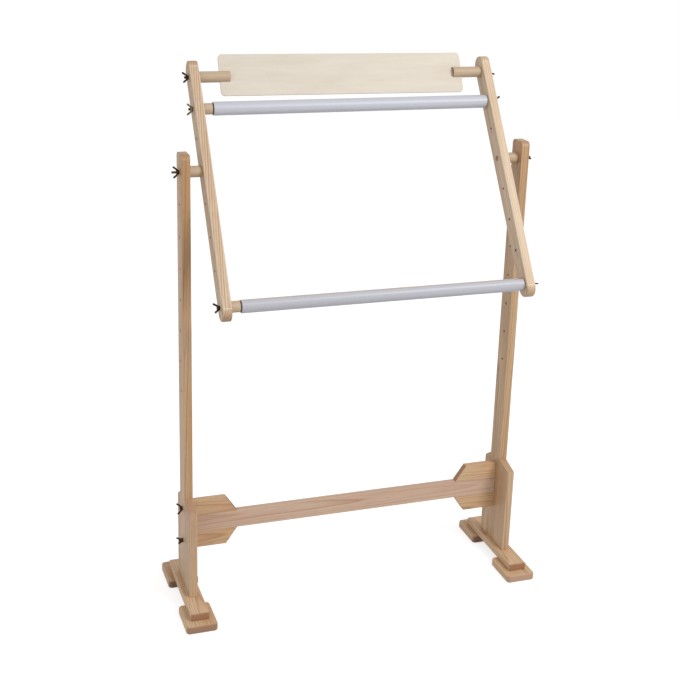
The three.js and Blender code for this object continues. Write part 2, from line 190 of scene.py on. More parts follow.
# planed softwood: pale early wood that darkens slowly into a thin late-wood line and drops back at once,
# in rings round the pith, so that a face shows stripes, arches or, at an end, arcs
planedPine = {
    # edge: colour of the painted highlight on narrow rounded edges, and bore: of the painted shade in holes
    "early": "#D1B18B", "late": "#A17B5C", "warm": "#C29D7D", "end": "#9A6A4A", "edge": "#D9C2A2",
    "bore": "#5A3C28", "ringWidth": 4.2, "wander": 3.2, "wanderLength": 260, "wanderWidth": 26,
    "fibreWidth": 1.1, "fibreLength": 70, "resinWidth": 0.9, "resinLength": 14,   # these lengths in mm
    # how much late wood each part of a ring has, and the whole ring's share of that in the weakest year
    "ringTones": [(0.0, 0.1), (0.06, 0.0), (0.5, 0.16), (0.78, 0.62), (0.92, 1.0), (1.0, 0.3)],
    "weakYear": 0.45, "resinShare": 0.45, "endShare": 0.85, "rubShare": 0.4,
    "fibreDark": 0.9, "fibrePale": 1.07, "roughness": 0.5, "glossSpread": 0.06, "ior": 1.5,
    # the last four keys on the next line paint dark lines of shade round a piece: places along X, colour,
    # blur and strength
    "relief": 0.06, "lateRelief": 0.5, "marks": [], "mark": "#2C2019", "markBlur": 0.3, "markShare": 0.9,
}
oiledPine = dict(planedPine, early="#CEAC85", late="#966E49", warm="#BB9165", end="#9A7350",
                 edge="#CDB08C", ringWidth=3.4, roughness=0.42, endShare=0.4)
framePine = dict(planedPine, early="#E2CBAF", late="#B28F69", warm="#D3B593", end="#A47C58",
                 edge="#EFDFC8", ringWidth=3.2, endShare=0.5)
leftBarPine = dict(framePine, late="#94694A", end="#A0744E", ringWidth=4.6, endShare=0.7)
crossbarPine = dict(planedPine, early="#D3B59C", late="#B58D73", warm="#CAA890", ringWidth=2.4, wander=1.4)
gussetPine = dict(planedPine, early="#DDBC95", late="#A77C57", warm="#CCA37A", ringWidth=3.2, wander=2.0,
                  rubShare=0.2)
footPine = dict(planedPine, early="#DDBE99", late="#AC8259", warm="#D0A87F", ringWidth=2.8, wander=1.8,
                rubShare=0.25)
# painted light: the right front pad's end is made much paler than the left one's, as the side nearer the
# light
leftPadPine = dict(footPine, end="#946F57")
litRightPadPine = dict(footPine, end="#B8947A")
# painted shade: the rear pads are darker than the front ones, their front ends most, for the shadow that the
# posts and foot boards cast on them
shadedRearPadPine = dict(footPine, early="#D2AF8C", end="#6B4733", warm="#AC8268")
# a sloping cut across the grain stays nearly as pale as a face
cheekPine = dict(planedPine, endShare=0.3, ringWidth=3.4, rubShare=0.2)
# turned hardwood dowel: short-fibred and even, with finer and fainter rings
turnedDowel = dict(planedPine, early="#C1A688", late="#A08160", warm="#B39578", edge="#D6C2A6",
                   end="#A08262", ringWidth=2.4, wander=1.0, fibreWidth=0.7, fibreLength=22,
                   roughness=0.48, relief=0.04)
# a dark line of painted shade round a roller just beyond each sawn end of its clip, for the clip's shadow and
# the crevice there: place along X, half width, mm
rollerDowel = dict(turnedDowel, marks=[(-291.5, 1.2), (311.6, 0.6)])


def woodMaterial(name, wood, pith, along, tilt):
    # pith: a point on the tree's centre line, metres; along: the grain's direction; tilt: degrees off it,
    # which opens the arches on a face
    along = Vector(along).normalized()
    side = Vector((0, 1, 0)) if abs(along.x) > 0.5 else Vector((1, 0, 0))   # square to the grain
    third = along.cross(side).normalized()
    grain = Matrix((along, third.cross(along), third)).transposed()
    lean = Matrix.Rotation(radians(tilt[0]), 3, side) @ Matrix.Rotation(radians(tilt[1]), 3, third)
    material, tree, surface = newMaterial(name)
    place = addNode(tree, "ShaderNodeTexCoord", {})
    # from here on in millimetres, with X along the grain and the pith at zero
    log = addNode(tree, "ShaderNodeMapping",
                  {"Vector": place.outputs["Object"], "Location": pith, "Rotation": (lean @ grain).to_euler(),
                   "Scale": (mm, mm, mm)}, vector_type="TEXTURE").outputs[0]
    slowness = (1 / wood["wanderLength"], 1 / wood["wanderWidth"], 1 / wood["wanderWidth"])
    slow = addNode(tree, "ShaderNodeVectorMath", {0: log, 1: slowness}, operation="MULTIPLY")
    wander = addNode(tree, "ShaderNodeTexNoise",
                     {"Vector": slow.outputs[0], "Scale": 1.0, "Detail": 2.0, "Roughness": 0.45})
    across = addNode(tree, "ShaderNodeVectorMath", {0: log, 1: (0, 1, 1)}, operation="MULTIPLY")
    radius = addNode(tree, "ShaderNodeVectorMath", {0: across.outputs[0]}, operation="LENGTH")
    bent = addNode(tree, "ShaderNodeMath",
                   {0: wander.outputs[0], 1: 2 * wood["wander"], 2: radius.outputs["Value"]},
                   operation="MULTIPLY_ADD")
    rings = addNode(tree, "ShaderNodeMath", {0: bent.outputs[0], 1: wood["ringWidth"]}, operation="DIVIDE")
    season = addNode(tree, "ShaderNodeMath", {0: rings.outputs[0]}, operation="FRACT")
    year = addNode(tree, "ShaderNodeMath", {0: rings.outputs[0]}, operation="FLOOR")
    growth = addNode(tree, "ShaderNodeTexWhiteNoise", {"W": year.outputs[0]}, noise_dimensions="1D")
    strong = addNode(tree, "ShaderNodeMapRange",
                     {"Value": growth.outputs["Value"], "To Min": wood["weakYear"]})
    late = addNode(tree, "ShaderNodeValToRGB", {"Fac": season.outputs[0]}, stops=wood["ringTones"])
    late = addNode(tree, "ShaderNodeMath", {0: late.outputs[0], 1: strong.outputs[0]}, operation="MULTIPLY")
    # long fibres, and the short dark dashes of resin ducts
    strandSize = (1 / wood["fibreLength"], 1 / wood["fibreWidth"], 1 / wood["fibreWidth"])
    strand = addNode(tree, "ShaderNodeVectorMath", {0: log, 1: strandSize}, operation="MULTIPLY")
    fibre = addNode(tree, "ShaderNodeTexNoise",
                    {"Vector": strand.outputs[0], "Scale": 1.0, "Detail": 3.0, "Roughness": 0.6})
    ductSize = (1 / wood["resinLength"], 1 / wood["resinWidth"], 1 / wood["resinWidth"])
    duct = addNode(tree, "ShaderNodeVectorMath", {0: log, 1: ductSize}, operation="MULTIPLY")
    resin = addNode(tree, "ShaderNodeTexNoise", {"Vector": duct.outputs[0], "Scale": 1.0, "Detail": 0.0})
    resin = addNode(tree, "ShaderNodeMapRange",
                    {"Value": resin.outputs[0], "From Min": 0.7, "From Max": 0.78,
                     "To Max": wood["resinShare"]})
    # the early wood drifts slowly to a warmer colour and back
    drift = addNode(tree, "ShaderNodeTexNoise", {"Vector": slow.outputs[0], "Scale": 0.6, "Detail": 1.0})
    drift = addNode(tree, "ShaderNodeMapRange",
                    {"Value": drift.outputs[0], "From Min": 0.35, "From Max": 0.65})
    shown = addNode(tree, "ShaderNodeMix", {"Factor": drift.outputs[0], 6: linear(wood["early"]),
                                            7: linear(wood["warm"])}, data_type="RGBA")
    shown = addNode(tree, "ShaderNodeMix", {"Factor": late.outputs[0], 6: shown.outputs[2],
                                            7: linear(wood["late"])}, data_type="RGBA")
    shade = addNode(tree, "ShaderNodeMapRange",
                    {"Value": fibre.outputs[0], "From Min": 0.3, "From Max": 0.7,
                     "To Min": wood["fibreDark"], "To Max": wood["fibrePale"]})
    shown = addNode(tree, "ShaderNodeVectorMath", {0: shown.outputs[2], "Scale": shade.outputs[0]},
                    operation="SCALE")
    shown = addNode(tree, "ShaderNodeMix", {"Factor": resin.outputs[0], 6: shown.outputs[0],
                                            7: linear(wood["late"])}, data_type="RGBA")
    # sawn ends drink light, a painted highlight makes rounded edges paler, and painted shade darkens the
    # walls of drilled holes and the roots of slots
    for attribute, share, colour in (("endGrain", wood["endShare"], wood["end"]),
                                     ("rubbed", wood["rubShare"], wood["edge"]),
                                     ("bore", 1.0, wood["bore"])):
        there = addNode(tree, "ShaderNodeAttribute", {}, attribute_name=attribute)
        there = addNode(tree, "ShaderNodeMath", {0: there.outputs["Fac"], 1: share}, operation="MULTIPLY")
        shown = addNode(tree, "ShaderNodeMix", {"Factor": there.outputs[0], 6: shown.outputs[2],
                                                7: linear(colour)}, data_type="RGBA")
    # painted shade: a dark line round the piece at each place along X that the wood lists
    run = addNode(tree, "ShaderNodeSeparateXYZ", {0: place.outputs["Object"]})
    for middleX, half in wood["marks"]:
        away = addNode(tree, "ShaderNodeMath", {0: run.outputs["X"], 1: middleX * mm}, operation="SUBTRACT")
        away = addNode(tree, "ShaderNodeMath", {0: away.outputs[0]}, operation="ABSOLUTE")
        lineShade = addNode(tree, "ShaderNodeMapRange",
                       {"Value": away.outputs[0], "From Min": (half + wood["markBlur"]) * mm,
                        "From Max": half * mm, "To Max": wood["markShare"]})
        shown = addNode(tree, "ShaderNodeMix", {"Factor": lineShade.outputs[0], 6: shown.outputs[2],
                                                7: linear(wood["mark"])}, data_type="RGBA")
    gloss = addNode(tree, "ShaderNodeMapRange",
                    {"Value": late.outputs[0], "To Min": wood["roughness"] + wood["glossSpread"],
                     "To Max": wood["roughness"] - wood["glossSpread"]})
    height = addNode(tree, "ShaderNodeMath",
                     {0: late.outputs[0], 1: wood["lateRelief"], 2: fibre.outputs[0]},
                     operation="MULTIPLY_ADD")
    bump = addNode(tree, "ShaderNodeBump",
                   {"Height": height.outputs[0], "Strength": 0.6, "Distance": wood["relief"] * mm})
    tree.links.new(shown.outputs[2], surface.inputs["Base Color"])
    tree.links.new(gloss.outputs[0], surface.inputs["Roughness"])
    tree.links.new(bump.outputs[0], surface.inputs["Normal"])
    surface.inputs["IOR"].default_value = wood["ior"]
    return material


# rotary-cut birch veneer: cream, with a faint wide figure along the sheet, and a darker core at the edge
birchPly = {
    "pale": "#DBD1C1", "figure": "#D4C8B6", "core": "#B79468", "pore": "#CABDA8",
    "figureLength": 150, "figureWidth": 18, "figureDepth": 50,   # this and the next two lines in mm
    "poreLength": 6, "poreWidth": 0.6, "poreDepth": 10,
    "relief": 0.03, "coreHalf": 0.5, "coreBlur": 0.08,
    "poreShare": 0.5, "roughness": 0.55, "ior": 1.5,
}


def plywoodMaterial(name, ply, centre, lean):
    material, tree, surface = newMaterial(name)
    place = addNode(tree, "ShaderNodeTexCoord", {})
    # millimetres, with X along the board, Y through it and Z up it
    board = addNode(tree, "ShaderNodeMapping",
                    {"Vector": place.outputs["Object"], "Location": centre, "Rotation": (-lean, 0, 0),
                     "Scale": (mm, mm, mm)}, vector_type="TEXTURE").outputs[0]
    figureSize = (1 / ply["figureLength"], 1 / ply["figureDepth"], 1 / ply["figureWidth"])
    wide = addNode(tree, "ShaderNodeVectorMath", {0: board, 1: figureSize}, operation="MULTIPLY")
    figure = addNode(tree, "ShaderNodeTexNoise", {"Vector": wide.outputs[0], "Scale": 1.0, "Detail": 4.0,
                                                  "Roughness": 0.55, "Distortion": 0.6})
    figure = addNode(tree, "ShaderNodeMapRange",
                     {"Value": figure.outputs[0], "From Min": 0.36, "From Max": 0.68})
    poreSize = (1 / ply["poreLength"], 1 / ply["poreDepth"], 1 / ply["poreWidth"])
    fine = addNode(tree, "ShaderNodeVectorMath", {0: board, 1: poreSize}, operation="MULTIPLY")
    pore = addNode(tree, "ShaderNodeTexNoise", {"Vector": fine.outputs[0], "Scale": 1.0, "Detail": 2.0})
    poreDark = addNode(tree, "ShaderNodeMapRange",
                       {"Value": pore.outputs[0], "From Min": 0.58, "From Max": 0.72,
                        "To Max": ply["poreShare"]})
    face = addNode(tree, "ShaderNodeMix", {"Factor": figure.outputs[0], 6: linear(ply["pale"]),
                                           7: linear(ply["figure"])}, data_type="RGBA")
    face = addNode(tree, "ShaderNodeMix", {"Factor": poreDark.outputs[0], 6: face.outputs[2],
                                           7: linear(ply["pore"])}, data_type="RGBA")
    depth = addNode(tree, "ShaderNodeSeparateXYZ", {0: board})
    depth = addNode(tree, "ShaderNodeMath", {0: depth.outputs["Y"]}, operation="ABSOLUTE")
    inCore = addNode(tree, "ShaderNodeMapRange",
                     {"Value": depth.outputs[0], "From Min": ply["coreHalf"] + ply["coreBlur"],
                      "From Max": ply["coreHalf"] - ply["coreBlur"]})
    whole = addNode(tree, "ShaderNodeMix", {"Factor": inCore.outputs[0], 6: face.outputs[2],
                                            7: linear(ply["core"])}, data_type="RGBA")
    bump = addNode(tree, "ShaderNodeBump",
                   {"Height": pore.outputs[0], "Strength": 0.5, "Distance": ply["relief"] * mm})
    tree.links.new(whole.outputs[2], surface.inputs["Base Color"])
    tree.links.new(bump.outputs[0], surface.inputs["Normal"])
    surface.inputs["Roughness"].default_value = ply["roughness"]
    surface.inputs["IOR"].default_value = ply["ior"]
    return material


# extruded rigid PVC: cool white with a satin gloss, and the faint lengthwise draw lines of the die
extrudedPvc = {
    "colour": "#C6C7CF", "shade": "#C0C1C9", "lineWidth": 1.6, "lineLength": 400, "relief": 0.02,   # mm
    "roughness": 0.42, "smoother": 0.04, "rougher": 0.06, "ior": 1.53,
}
# painted shade: a darker copy of the same plastic for the lower clip, for the shade it sits in lower on the
# stand
greyedPvc = dict(extrudedPvc, colour="#BDBCC3", shade="#B7B6BD")


def pvcMaterial(name, plastic):
    material, tree, surface = newMaterial(name)
    place = addNode(tree, "ShaderNodeTexCoord", {})
    length, width = plastic["lineLength"] * mm, plastic["lineWidth"] * mm
    lineSize = (1 / length, 1 / width, 1 / width)
    drawn = addNode(tree, "ShaderNodeMapping", {"Vector": place.outputs["Object"], "Scale": lineSize})
    lines = addNode(tree, "ShaderNodeTexNoise", {"Vector": drawn.outputs[0], "Scale": 1.0, "Detail": 2.0})
    spread = addNode(tree, "ShaderNodeMapRange",
                     {"Value": lines.outputs[0], "From Min": 0.3, "From Max": 0.7})
    colour = addNode(tree, "ShaderNodeMix", {"Factor": spread.outputs[0], 6: linear(plastic["colour"]),
                                             7: linear(plastic["shade"])}, data_type="RGBA")
    gloss = addNode(tree, "ShaderNodeMapRange",
                    {"Value": lines.outputs[0], "To Min": plastic["roughness"] - plastic["smoother"],
                     "To Max": plastic["roughness"] + plastic["rougher"]})
    bump = addNode(tree, "ShaderNodeBump",
                   {"Height": lines.outputs[0], "Strength": 0.4, "Distance": plastic["relief"] * mm})
    tree.links.new(colour.outputs[2], surface.inputs["Base Color"])
    tree.links.new(gloss.outputs[0], surface.inputs["Roughness"])
    tree.links.new(bump.outputs[0], surface.inputs["Normal"])
    surface.inputs["IOR"].default_value = plastic["ior"]
    return material


# cast and plated steel: dark bronzed film that wears to paler metal in specks, a little rough from the cast
bronzedSteel = {
    "film": "#3A2A20", "worn": "#7A6247", "grit": 0.7, "patch": 5.0, "relief": 0.05,   # mm
    "wear": 0.8, "roughness": 0.42, "smoother": 0.08, "rougher": 0.1,
}
brassySteel = dict(bronzedSteel, film="#6E6A50", worn="#9A947C", roughness=0.4)
boltBronze = dict(bronzedSteel, film="#8A6A50", worn="#A98C6E")
# bright zinc: pale grey with soft spangle
zincSteel = dict(bronzedSteel, film="#AEB2B6", worn="#C8CBCE", grit=1.2, roughness=0.34, relief=0.02)


def platedMaterial(name, plate):
    material, tree, surface = newMaterial(name)
    place = addNode(tree, "ShaderNodeTexCoord", {})
    grit = addNode(tree, "ShaderNodeTexNoise", {"Vector": place.outputs["Object"],
                                                "Scale": 1 / (plate["grit"] * mm), "Detail": 3.0})
    patch = addNode(tree, "ShaderNodeTexNoise",
                    {"Vector": place.outputs["Object"], "Scale": 1 / (plate["patch"] * mm), "Detail": 4.0,
                     "Roughness": 0.7})
    wear = addNode(tree, "ShaderNodeMapRange", {"Value": patch.outputs[0], "From Min": 0.55,
                                                "From Max": 0.72, "To Max": plate["wear"]})
    colour = addNode(tree, "ShaderNodeMix", {"Factor": wear.outputs[0], 6: linear(plate["film"]),
                                             7: linear(plate["worn"])}, data_type="RGBA")
    gloss = addNode(tree, "ShaderNodeMapRange",
                    {"Value": grit.outputs[0], "From Min": 0.3, "From Max": 0.7,
                     "To Min": plate["roughness"] - plate["smoother"],
                     "To Max": plate["roughness"] + plate["rougher"]})
    bump = addNode(tree, "ShaderNodeBump",
                   {"Height": grit.outputs[0], "Strength": 0.5, "Distance": plate["relief"] * mm})
    tree.links.new(colour.outputs[2], surface.inputs["Base Color"])
    tree.links.new(gloss.outputs[0], surface.inputs["Roughness"])
    tree.links.new(bump.outputs[0], surface.inputs["Normal"])
    surface.inputs["Metallic"].default_value = 1.0
    return material


bronzed = platedMaterial("bronzedSteel", bronzedSteel)
boltMetal = platedMaterial("bronzedBolt", boltBronze)
brassy = platedMaterial("brassySteel", brassySteel)
zinc = platedMaterial("zincSteel", zincSteel)
pvc = {"upper": pvcMaterial("extrudedPvc", extrudedPvc), "lower": pvcMaterial("greyedPvc", greyedPvc)}
print("materials made")


# Shared steps of making a piece

shaping = {
    "sharpAngle": 40,       # degrees; an edge that turns more than this stays crisp
    "boreAngle": 5,         # an inward edge turns at least this much
    "boreShare": 0.45,      # a face with more inward edge than this share of its outline is in a hole
    "merge": 0.01,          # mm; packed points nearer than this are one
    "spunMerge": 0.001,     # mm; the same for points that are spun round an axis
    "cutMerge": 0.0001,     # mm; a cut that passes this near a point goes through it
    "flatAngle": 0.5,       # degrees; packed faces that turn less than this are one
    "sliver": 0.02,         # mm; an edge shorter than this is closed up
    "stripWidth": 2.0,      # mm; a face narrower than this is an eased edge
    "endFrom": 0.1, "endFull": 0.8,   # a face's lean across the grain, where it starts and is all end grain
    "arrisFrom": 32, "arrisTo": 62,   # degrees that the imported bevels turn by
    "arrisLength": 3,       # times the easing; a shorter bevel stays as it is
    "easeSteps": 2,         # faces across a rolled edge
    "rimAngle": 50,         # degrees; an edge that turns more than this is still to be eased
    "sides": 64,            # of a dowel
}
upward, forward, sideways = (0, 0, 1), (0, 1, 0), (1, 0, 0)


def camel(node):
    first, *rest = node.split("_")
    return first + "".join(word.capitalize() for word in rest)


def middle(node):
    low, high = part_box(node)
    return (Vector(low) + Vector(high)) / 2


def spanX(node):
    # how far the node runs along X, from its end nearer the middle to its outer end, in mm from the middle
    low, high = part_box(node)
    near, far = sorted((abs(low[0]), abs(high[0])))
    return near / mm, far / mm


def sideOf(node):
    return 1 if middle(node).x > 0 else -1


def finishPiece(mesh, name, node, slot, material):
    # shades it smoothly but for its crisp edges, and hangs it on the body of the node that it stands for
    sharp = radians(shaping["sharpAngle"])
    for face in mesh.faces:
        face.smooth = True
    for edge in mesh.edges:
        edge.smooth = not (edge.is_manifold and edge.calc_face_angle() > sharp)
    piece = bpy.data.objects.new(name, bpy.data.meshes.new(name))
    mesh.to_mesh(piece.data)
    mesh.free()
    piece.data.materials.append(material)
    bpy.context.scene.collection.objects.link(piece)
    even = piece.modifiers.new("even normals", "WEIGHTED_NORMAL")
    even.keep_sharp = True
    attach(piece, bodyOf[node])
    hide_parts(node)


def markWood(mesh, along):
    # sawn ends across the grain, narrow rounded strips that get a painted highlight, and the hollow faces,
    # the walls of drilled holes and the roots of slots, that get painted shade
    ended = mesh.faces.layers.float.new("endGrain")
    rubbed = mesh.faces.layers.float.new("rubbed")
    holeShade = mesh.faces.layers.float.new("bore")
    along = Vector(along).normalized()
    inward = -radians(shaping["boreAngle"])
    mesh.normal_update()
    for face in mesh.faces:
        around = sum(edge.calc_length() for edge in face.edges)
        hollow = sum(e.calc_length() for e in face.edges
                     if e.is_manifold and e.calc_face_angle_signed() < inward)
        inBore = hollow > shaping["boreShare"] * around
        narrow = 2 * face.calc_area() / around < shaping["stripWidth"] * mm
        cut = abs(face.normal.dot(along))   # nought on a face that follows the grain, one on a sawn end
        least, full = shaping["endFrom"], shaping["endFull"]
        share = min(max((cut - least) / (full - least), 0), 1)
        face[ended] = 0.0 if inBore else share
        face[rubbed] = 1.0 if narrow and cut < least and not inBore else 0.0
        face[holeShade] = 1.0 if inBore else 0.0


def finishWood(mesh, name, node, slot, wood, along, pith, tilt):
    # gives the piece its own grain; pith: mm from the middle of the piece
    markWood(mesh, along)
    place = middle(node) + Vector(pith) * mm
    kind = "Wood" if slot == "dowel" else "Pine"
    finishPiece(mesh, name, node, slot, woodMaterial(name + kind, wood, place, along, tilt))


def crispEdges(mesh, angle=shaping["rimAngle"]):
    return [e for e in mesh.edges if e.is_manifold and e.calc_face_angle() > radians(angle)]


def easeEdges(mesh, edges, size, steps, clamp=True):
    # rolls the edges over; size: mm
    bmesh.ops.bevel(mesh, geom=edges, affect="EDGES", offset=size * mm, segments=steps, profile=0.5,
                    material=-1, clamp_overlap=clamp)


def roundedCopy(node, ease):
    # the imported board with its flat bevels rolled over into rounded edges
    mesh = bmesh.new()
    mesh.from_mesh(nodes[node].data)
    bmesh.ops.remove_doubles(mesh, verts=mesh.verts, dist=shaping["merge"] * mm)
    bmesh.ops.dissolve_limit(mesh, angle_limit=radians(shaping["flatAngle"]), verts=mesh.verts,
                             edges=mesh.edges)
    least, most = radians(shaping["arrisFrom"]), radians(shaping["arrisTo"])
    arrises = [e for e in mesh.edges if e.is_manifold and e.is_convex and least < e.calc_face_angle() < most
               and e.calc_length() > shaping["arrisLength"] * ease * mm]
    easeEdges(mesh, arrises, ease, shaping["easeSteps"])
    # on a narrow bevel the two rollings meet and leave faces of no width, which would spoil the marking
    bmesh.ops.dissolve_degenerate(mesh, edges=mesh.edges, dist=shaping["sliver"] * mm)
    bmesh.ops.recalc_face_normals(mesh, faces=mesh.faces)
    return mesh


def turned(profile, sides=shaping["sides"]):
    # a closed profile of (along X, radius) in mm, spun round X; points on the axis close it
    mesh = bmesh.new()
    points = [mesh.verts.new((x * mm, 0, r * mm)) for x, r in profile]
    edges = [mesh.edges.new(pair) for pair in zip(points, points[1:])]
    if profile[0][1] > 0:
        edges.append(mesh.edges.new((points[-1], points[0])))
    bmesh.ops.spin(mesh, geom=points + edges, axis=(1, 0, 0), cent=(0, 0, 0), angle=2 * pi, steps=sides,
                   use_merge=True)
    bmesh.ops.remove_doubles(mesh, verts=mesh.verts, dist=shaping["spunMerge"] * mm)
    bmesh.ops.recalc_face_normals(mesh, faces=mesh.faces)
    return mesh


def moved(mesh, node, turn=0):
    # from round the X axis to round the axis of the node, which is round too
    centre = middle(node)
    bmesh.ops.rotate(mesh, verts=mesh.verts, cent=(0, 0, 0), matrix=Matrix.Rotation(turn, 3, "X"))
    bmesh.ops.translate(mesh, verts=mesh.verts, vec=(0, centre.y, centre.z))
    return mesh


def mirrored(mesh, sign):
    if sign < 0:
        bmesh.ops.scale(mesh, vec=(-1, 1, 1), verts=mesh.verts)
        bmesh.ops.recalc_face_normals(mesh, faces=mesh.faces)
    return mesh


# Stand: posts, feet and crossbar

standBoards = {
    # node: slot, wood, grain, pith from the middle of the piece in mm, tilt in degrees; along the grain,
    # the pith's place only moves the slow drift of the colour
    "left_upright": ("pine_post", oiledPine, upward, (-34, 26, 300), (0.9, 0.4)),
    "right_upright": ("pine_post", oiledPine, upward, (36, 18, 0), (-0.7, 0.5)),
    "left_foot_board": ("pine_foot", footPine, forward, (10, 0, 38), (1.6, 0.5)),
    "right_foot_board": ("pine_foot", footPine, forward, (-14, 0, 32), (-1.2, 0.8)),
    "left_front_pad": ("pine_foot", leftPadPine, forward, (4, 0, -24), (0.9, 0.4)),
    "left_rear_pad": ("pine_foot", shadedRearPadPine, forward, (-20, 0, 30), (-2.0, 0.6)),
    "right_front_pad": ("pine_foot", litRightPadPine, forward, (16, 0, 26), (0.9, -0.5)),
    "right_rear_pad": ("pine_foot", shadedRearPadPine, forward, (-8, 0, -30), (1.5, 1.4)),
    "crossbar": ("pine_foot", crossbarPine, sideways, (0, 34, 8), (0.6, 0.5)),
    "left_upper_gusset": ("pine_foot", gussetPine, sideways, (0, 24, -6), (1.4, 1.0)),
    "left_lower_gusset": ("pine_foot", gussetPine, sideways, (0, 22, 5), (-1.5, 1.1)),
    "right_upper_gusset": ("pine_foot", gussetPine, sideways, (0, 30, 12), (0.8, -0.6)),
    "right_lower_gusset": ("pine_foot", gussetPine, sideways, (0, 26, -14), (-0.7, 0.9)),
}
edgeEase = 0.8   # mm rolled off each side of a packed bevel


def makeBoard(node, slot, wood, along, pith, tilt):
    name = camel(node) if "_" in node else node + "Board"   # never the same as the node's own name
    finishWood(roundedCopy(node, edgeEase), name, node, slot, wood, along, pith, tilt)


for node, (slot, wood, along, pith, tilt) in standBoards.items():
    makeBoard(node, slot, wood, along, pith, tilt)

cheeks = {
    # node: which way it faces, how far its shoulder drops in mm, then pith and tilt as above
    "left_front_cheek": (-1, 13, (40, -20, 0), (1.2, -0.8)),
    "left_rear_cheek": (1, 19, (-22, 30, 0), (0.5, 1.1)),
    "right_front_cheek": (-1, 13, (28, 34, 0), (1.0, 0.9)),
    "right_rear_cheek": (1, 19, (44, -12, 0), (-1.1, 0.6)),
}
# mm, rounding of its free edges and its glued ones
cheekEdge = {"outer": 3.2, "outerSteps": 4, "seam": 0.8, "seamSteps": 2}


def makeCheek(node, facing, drop, pith, tilt):
    # a block of the node's size whose shoulder slopes, rounded along its free edges
    low, high = (Vector(corner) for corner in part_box(node))
    mesh = bmesh.new()
    bmesh.ops.create_cube(mesh, size=1.0, matrix=Matrix.Translation((low + high) / 2)
                          @ Matrix.Diagonal((high - low).to_4d()))
    free = high.y if facing > 0 else low.y
    outer = [v for v in mesh.verts if abs(v.co.y - free) < shaping["merge"] * mm]
    shoulder = [v for v in outer if v.co.z > (low.z + high.z) / 2]
    bmesh.ops.translate(mesh, verts=shoulder, vec=(0, 0, -drop * mm))
    mesh.normal_update()
    turning = [e for e in mesh.edges if all(v in outer for v in e.verts)
               and e.verts[0].co.z != e.verts[1].co.z]
    sloping = [e for e in mesh.edges if sum(v in shoulder for v in e.verts) == 1
               and e.verts[0].co.x == e.verts[1].co.x and e not in turning]
    easeEdges(mesh, turning + sloping, cheekEdge["outer"], cheekEdge["outerSteps"], clamp=False)
    easeEdges(mesh, crispEdges(mesh), cheekEdge["seam"], cheekEdge["seamSteps"])
    finishWood(mesh, camel(node), node, "pine_post", cheekPine, upward, pith, tilt)


for node, (facing, drop, pith, tilt) in cheeks.items():
    makeCheek(node, facing, drop, pith, tilt)
for node in nodes:
    if node.endswith("_post_screw"):
        nodes[node].data.materials.clear()
        nodes[node].data.materials.append(zinc)
print("stand boards made")


# Frame: side bars and chart board

frameLean = radians(34)   # back from upright
barAlong = (0, sin(frameLean), cos(frameLean))
frameBoards = {   # node: wood, pith and tilt as above
    "left_side_bar": (leftBarPine, (26, -14, 20), (1.5, 4.5)),
    "right_side_bar": (framePine, (-30, -10, -16), (-0.8, 0.6)),
}
for node, (wood, pith, tilt) in frameBoards.items():
    makeBoard(node, "pine_frame", wood, barAlong, pith, tilt)

chartBoard = {"lean": 26, "ease": 0.2}   # degrees back from upright; mm
plywood = plywoodMaterial("birchPlywood", birchPly, middle("chart_board"), radians(chartBoard["lean"]))
finishPiece(roundedCopy("chart_board", chartBoard["ease"]), "chartBoard", "chart_board", "birch_plywood",
            plywood)
print("frame boards made")


# Rollers, spacers and slotted stubs

dowel = {"radius": 11.5, "ease": 1.0, "easeSteps": 4, "boreRadius": 2.8}   # mm


def roundedEnd(x, outward):
    # the profile points of an eased rim, from the end face out to the side
    points = []
    for i in range(dowel["easeSteps"] + 1):
        turn = pi / 2 * i / dowel["easeSteps"]
        points.append((x - outward * dowel["ease"] * (1 - cos(turn)),
                       dowel["radius"] - dowel["ease"] * (1 - sin(turn))))
    return points


def makeDowel(node, x0, x1, bore, wood, pith, tilt):
    profile = [(x0, bore)] + roundedEnd(x0, -1) + roundedEnd(x1, 1)[::-1] + [(x1, bore)]
    mesh = moved(turned(profile), node)
    finishWood(mesh, camel(node), node, "dowel", wood, sideways, pith, tilt)


rollers = {   # node: pith and tilt as above
    "upper_roller": ((0, 9, -14), (0.5, 0.6)),
    "lower_roller": ((0, -12, -8), (0.4, -0.7)),
}
spacers = {
    "left_spacer": ((0, -14, -9), (1.5, 2.0)),
    "right_spacer": ((0, 14, -9), (1.5, 2.0)),
}
for node, (pith, tilt) in rollers.items():
    half = spanX(node)[1]
    makeDowel(node, -half, half, 0, rollerDowel, pith, tilt)
for node, (pith, tilt) in spacers.items():
    inner, outer = sorted(sideOf(node) * x for x in spanX(node))
    makeDowel(node, inner, outer, dowel["boreRadius"], turnedDowel, pith, tilt)

stub = {"slotWidth": 3.6, "slotDepth": 22.6, "ease": 0.7, "easeSteps": 3}   # mm
slottedStubs = {   # node: pith and tilt as above
    "left_slotted_stub": ((0, 13, -9), (1.2, -1.5)),
    "right_slotted_stub": ((0, 13, 9), (1.2, 1.5)),
}


